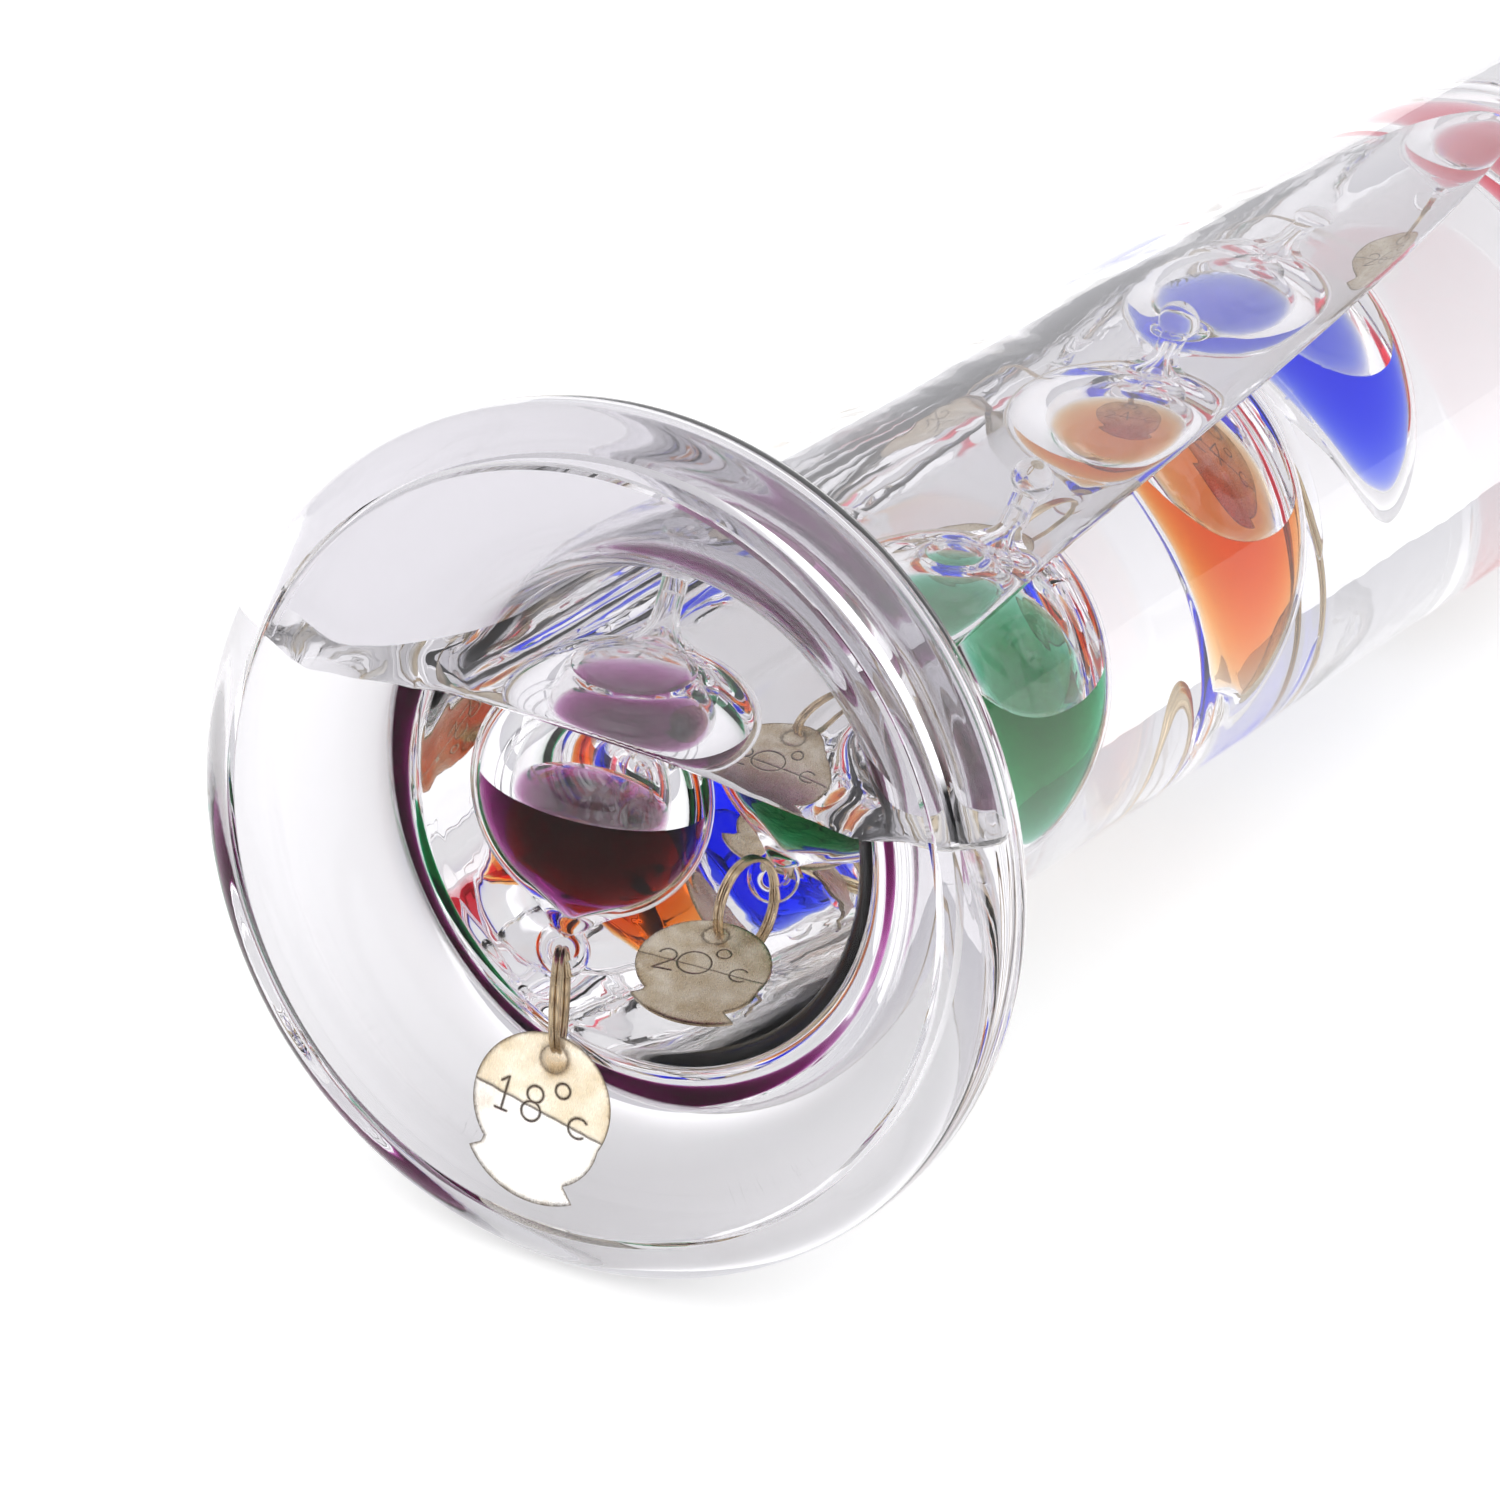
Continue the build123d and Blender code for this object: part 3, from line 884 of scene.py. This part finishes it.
def tag_mesh(name, place):
    """A tag's mesh, with how inked (stamping, and painted shade along the crease), how brightly
    lit (a painted highlight) and how tarnished (tarnish, and painted shade on the tags other than
    18) it is at every point.
    """
    outline = resampled(tag_outline(), 0.2, closed=True)
    hole = arc((0, tag_hole_height), tag_hole_radius, 0, 360, 44)[:-1]
    edge = KDTree(len(outline) + len(hole))
    for i, p in enumerate(outline + hole):
        edge.insert((*p, 0), i)
    edge.balance()
    inked = [p for run in tag_strokes(name) for p in run]
    ink = KDTree(len(inked))
    for i, p in enumerate(inked):
        ink.insert((*p, 0), i)
    ink.balance()
    slope = (crease[1][1] - crease[0][1]) / (crease[1][0] - crease[0][0])

    def past_crease(x, y):
        wave = 0.06 * noise.noise(Vector((x * 0.9, 3.0, 0)))
        return y - (crease[0][1] + slope * (x - crease[0][0])) + wave

    flat = [Vector(p) for p in outline + hole]
    count = len(outline)
    loops = [(i, (i + 1) % count) for i in range(count)]
    loops += [(count + i, count + (i + 1) % len(hole)) for i in range(len(hole))]
    near = 0.08
    fine = int(21 / near)
    for row in range(fine):
        for column in range(fine):
            x = -10.5 + column * near + (row % 2) * near / 2
            y = -11.5 + row * near
            if hypot(x, y) > 10:
                continue
            coarse = row % 4 == 0 and column % 4 == 0
            if not coarse and abs(past_crease(x, y)) > 0.25 and ink.find((x, y, 0))[2] > 0.3:
                continue
            if edge.find((x, y, 0))[2] < (0.1 if coarse else 0.07):
                continue
            flat.append(Vector((x, y)))
    made, _, triangles, _, _, _ = delaunay_2d_cdt(flat, loops, [], 2, 1e-5)
    right = (place.tag_down * -1).cross(place.tag_normal)
    up = place.tag_down * -1
    points, marks = [], []
    half = tag_thickness / 2
    for surface in (1, -1):
        for p in made:
            gap = edge.find((p.x, p.y, 0))[2]
            bent = past_crease(p.x, p.y)
            stroke = exp(-((ink.find((p.x, p.y, 0))[2] / 0.1) ** 4))
            fold = exp(-((bent / 0.09) ** 2))
            depth = (0.07 * stroke + 0.05 * fold) * (surface > 0)
            soft = 0.06 * exp(-gap / 0.06)
            lift = surface * (half - depth - soft)
            points.append(place.disc + (right * p.x + up * p.y + place.tag_normal * lift) * MM)
            hole_gap = hypot(p.x, p.y - tag_hole_height) - tag_hole_radius
            tarnish_and_shade = 0.9 * exp(-max(hole_gap, 0) / 0.5) + 0.5 * exp(-gap / 0.35)
            tarnish_and_shade += 0.6 * exp(-(hypot(p.x + 5.2, p.y + 1.3) / 1.3) ** 2)
            # the ink mark: the stamped strokes, painted shade along the crease, a dark line round
            # the edges, and a fifth of the dark colour over the back face
            ink_and_shade_here = max(stroke, 0.9 * fold, 0.75 * exp(-gap / 0.05)) if surface > 0 else 0.2
            # painted highlight: on tag 18 only, the part below the crease is marked bright, as if
            # it caught the light
            bright = 1 / (1 + exp(min(max(bent / 0.05, -40), 40))) if name == "18" else 0.0
            # painted shade: the tags other than 18 get half again as much of the tarnished brown
            # all over
            if name != "18":
                tarnish_and_shade += 0.5
            marks.append((ink_and_shade_here, bright, min(tarnish_and_shade, 1.0)))
    total = len(made)
    faces = [list(t) for t in triangles]
    faces += [[i + total for i in reversed(t)] for t in triangles]
    sides = dict.fromkeys((a, b) for t in triangles for a, b in zip(t, [*t[1:], t[0]]))
    for a, b in sides:
        if (b, a) not in sides:
            faces.append([b, a, a + total, b + total])
    bm = new_bmesh(points, faces)
    bm.verts.ensure_lookup_table()
    for index, layer_name in enumerate(("ink", "bright", "tarnish_and_shade")):
        layer = bm.verts.layers.float.new(layer_name)
        bm.verts.ensure_lookup_table()
        for v, mark in zip(bm.verts, marks):
            v[layer] = mark[index]
    loose = [v for v in bm.verts if not v.link_faces]
    bmesh.ops.delete(bm, geom=loose, context="VERTS")
    bmesh.ops.recalc_face_normals(bm, faces=bm.faces[:])
    return bm


for name, place in hanging.items():
    piece(
        f"float_{name}_tag",
        tag_mesh(name, place),
        [brass_sheet],
        f"hanging_tag_{name}",
        [f"tag_{name}"],
        50,
    )


# ---- clear liquid: its free surface, and sides that lie on the glass ----
def height_on_axis(a, z):
    """Distance across the tube of the points at height z, at a distance along the tube."""
    return (z - foot_centre.z - tube_axis.z * a * MM) / cross_axis.z / MM


def shore(sign):
    """Half of the free surface's edge on one side, as (x, y) in millimetres."""
    out = []
    a = liquid_start
    while a < dome_centre:
        reach = cavity_reach(a) - wall_gap
        side = reach if not out else abs(out[-1][1])
        for _ in range(3):
            spot = foot_centre + tube_axis * (a * MM) + side_axis * (sign * side * MM)
            h = height_on_axis(a, level + climb(spot) * MM)
            side = sqrt(max(reach**2 - h**2, 0))
        if reach <= h:
            break
        p = foot_centre + tube_axis * (a * MM) + cross_axis * (h * MM)
        out.append((p.x / MM, sign * side))
        a += 0.25 if a < 12 else 0.8
    return out


def waterline(place):
    """Where a float goes through the free surface."""
    bm = new_bmesh(*turned(float_profile, place.centre, place.up, place.eye_axis, 48))
    cut = bmesh.ops.bisect_plane(
        bm,
        geom=bm.verts[:] + bm.edges[:] + bm.faces[:],
        dist=weld,
        plane_co=(0, 0, level + neck_climb * MM),
        plane_no=(0, 0, 1),
    )
    edges = [e for e in cut["geom_cut"] if isinstance(e, bmesh.types.BMEdge)]
    loop = [(v.co.x / MM, v.co.y / MM) for v in in_order(edges)] if edges else []
    bm.free()
    return loop


halves = [shore(1), shore(-1)]
tip = ((halves[0][-1][0] + halves[1][-1][0]) / 2 + 0.3, 0.0)
wall = halves[0] + [tip] + halves[1][::-1]
# the shore on the foot plate leans with it
foot_run = []
for i in range(1, 120):
    y = halves[1][0][1] + (halves[0][0][1] - halves[1][0][1]) * i / 120
    spot = foot_centre + tube_axis * (liquid_start * MM) + side_axis * (y * MM)
    h = height_on_axis(liquid_start, level + climb(spot) * MM)
    p = foot_centre + tube_axis * (liquid_start * MM) + cross_axis * (h * MM)
    foot_run.append((p.x / MM, y))
wall = wall + foot_run
wall = resampled(wall, 0.8, closed=True)
necks = [loop for loop in (waterline(place) for place in hanging.values()) if len(loop) > 5]
flat = [Vector(p) for p in wall]
loops = [(i, (i + 1) % len(wall)) for i in range(len(wall))]
for loop in necks:
    first = len(flat)
    flat += [Vector(p) for p in loop]
    loops += [(first + i, first + (i + 1) % len(loop)) for i in range(len(loop))]
dense_wall = resampled(wall, 0.2, closed=True)
bank = KDTree(len(dense_wall))
for i, p in enumerate(dense_wall):
    bank.insert((*p, 0), i)
bank.balance()
neck_points = [p for loop in necks for p in resampled(loop, 0.3, closed=True)]
rings = KDTree(max(len(neck_points), 1))
for i, p in enumerate(neck_points or [(1e6, 1e6)]):
    rings.insert((*p, 0), i)
rings.balance()
low_x = min(p[0] for p in wall)
high_x = max(p[0] for p in wall)
y = -40.0
row = 0
while y < 40:
    x = low_x + (row % 2) * 0.25
    column = 0
    while x < high_x:
        bank_gap = bank.find((x, y, 0))[2]
        ring_gap = rings.find((x, y, 0))[2]
        fine = bank_gap < 3 or ring_gap < 2.5
        if bank_gap > 0.3 and ring_gap > 0.2 and (fine or (row % 3 == 0 and column % 3 == 0)):
            flat.append(Vector((x, y)))
        x += 0.5
        column += 1
    y += 0.45
    row += 1
made, _, triangles, _, _, _ = delaunay_2d_cdt(flat, loops, [], 2, 1e-5)
top_points = []
for p in made:
    bank_gap = bank.find((p.x, p.y, 0))[2]
    ring_gap = rings.find((p.x, p.y, 0))[2]
    spot = bank.find((p.x, p.y, 0))[0]
    edge_lift = climb(Vector((spot.x * MM, spot.y * MM, level)))
    lift = edge_lift * exp(-bank_gap / 1.3)
    near = exp(-ring_gap / 0.7)
    lift = lift * (1 - near) + neck_climb * near
    top_points.append(Vector((p.x * MM, p.y * MM, level + lift * MM)))
side_outline = [(liquid_start, 0)]
side_outline += [(max(a, liquid_start), max(r - wall_gap, 0)) for a, r in cavity_outline()]
bm = new_bmesh(*turned(side_outline, foot_centre, tube_axis, side_axis, 120))
cut_climbing(bm, above=True)
bmesh.ops.recalc_face_normals(bm, faces=bm.faces[:])
for face in bm.faces:
    face.material_index = 1
verts = [bm.verts.new(p) for p in top_points]
for t in triangles:
    face = bm.faces.new([verts[i] for i in t])
    face.normal_update()
    if face.normal.z < 0:
        face.normal_flip()
loose = [v for v in bm.verts if not v.link_faces]
bmesh.ops.delete(bm, geom=loose, context="VERTS")
piece(
    "clear_filling",
    bm,
    [liquid_top, liquid_side],
    "vessel",
    ["clear_liquid"],
    60,
)

# ---- floor, surroundings and light ----
floor_material, nodes, links = new_material("pale_floor")
out = nodes.new("ShaderNodeOutputMaterial")
shader = nodes.new("ShaderNodeBsdfPrincipled")
shader.inputs["Base Color"].default_value = (0.9, 0.9, 0.9, 1)
shader.inputs["Roughness"].default_value = 1.0
shader.inputs["Specular IOR Level"].default_value = 0.0
shader.inputs["Emission Color"].default_value = (1, 1, 1, 1)
shader.inputs["Emission Strength"].default_value = 0.42
links.new(shader.outputs["BSDF"], out.inputs["Surface"])
bm = bmesh.new()
bmesh.ops.create_grid(bm, x_segments=8, y_segments=8, size=4.0)
mesh = bpy.data.meshes.new("floor")
bm.to_mesh(mesh)
bm.free()
mesh.materials.append(floor_material)
floor = bpy.data.objects.new("floor", mesh)
scene.collection.objects.link(floor)

world = bpy.data.worlds.new("studio")
scene.world = world
world.use_nodes = True
nodes, links = world.node_tree.nodes, world.node_tree.links
nodes.clear()
place = nodes.new("ShaderNodeTexCoord")
split = nodes.new("ShaderNodeSeparateXYZ")
links.new(place.outputs["Generated"], split.inputs["Vector"])
dark, bright = (0, 0, 0), (1, 1, 1)


def towards(direction):
    """How nearly a direction in the surroundings points the given way."""
    made = nodes.new("ShaderNodeVectorMath")
    made.operation = "DOT_PRODUCT"
    made.inputs[1].default_value = direction
    links.new(place.outputs["Generated"], made.inputs[0])
    return made.outputs["Value"]


sky = ramp(
    nodes,
    links,
    split.outputs["Z"],
    [(0.0, (0.85, 0.85, 0.88)), (0.2, (0.92, 0.92, 0.94)), (0.5, bright), (1.0, bright)],
)
# a dark screen stands low in front of the object: it draws the thin dark lines in the glass
wide = ramp(nodes, links, towards((-0.89, -0.456, 0.0)), [(0.5, dark), (0.7, bright)])
tall = ramp(nodes, links, split.outputs["Z"], [(0.0, bright), (0.14, bright), (0.22, dark)])
screen = scaled(nodes, links, wide, tall)
path = nodes.new("ShaderNodeLightPath")
seen = nodes.new("ShaderNodeMath")
seen.operation = "SUBTRACT"
seen.inputs[0].default_value = 1.0
links.new(path.outputs["Is Camera Ray"], seen.inputs[1])
screen = scaled(nodes, links, screen, seen.outputs["Value"])
# and a bright box of light stands over the camera
box_light = ramp(nodes, links, towards((-0.77, -0.39, 0.5)), [(0.8, dark), (0.9, bright)])
sky = blended(nodes, links, box_light, sky, (2.2, 2.2, 2.2))
sky = blended(nodes, links, screen, sky, (0.02, 0.02, 0.022))
back = nodes.new("ShaderNodeBackground")
back.inputs["Strength"].default_value = 1.0
out = nodes.new("ShaderNodeOutputWorld")
links.new(sky, back.inputs["Color"])
links.new(back.outputs["Background"], out.inputs["Surface"])

scene.view_settings.view_transform = "Standard"
scene.cycles.max_bounces = 48
scene.cycles.transmission_bounces = 48
scene.cycles.glossy_bounces = 16
scene.cycles.diffuse_bounces = 3
scene.cycles.transparent_max_bounces = 64
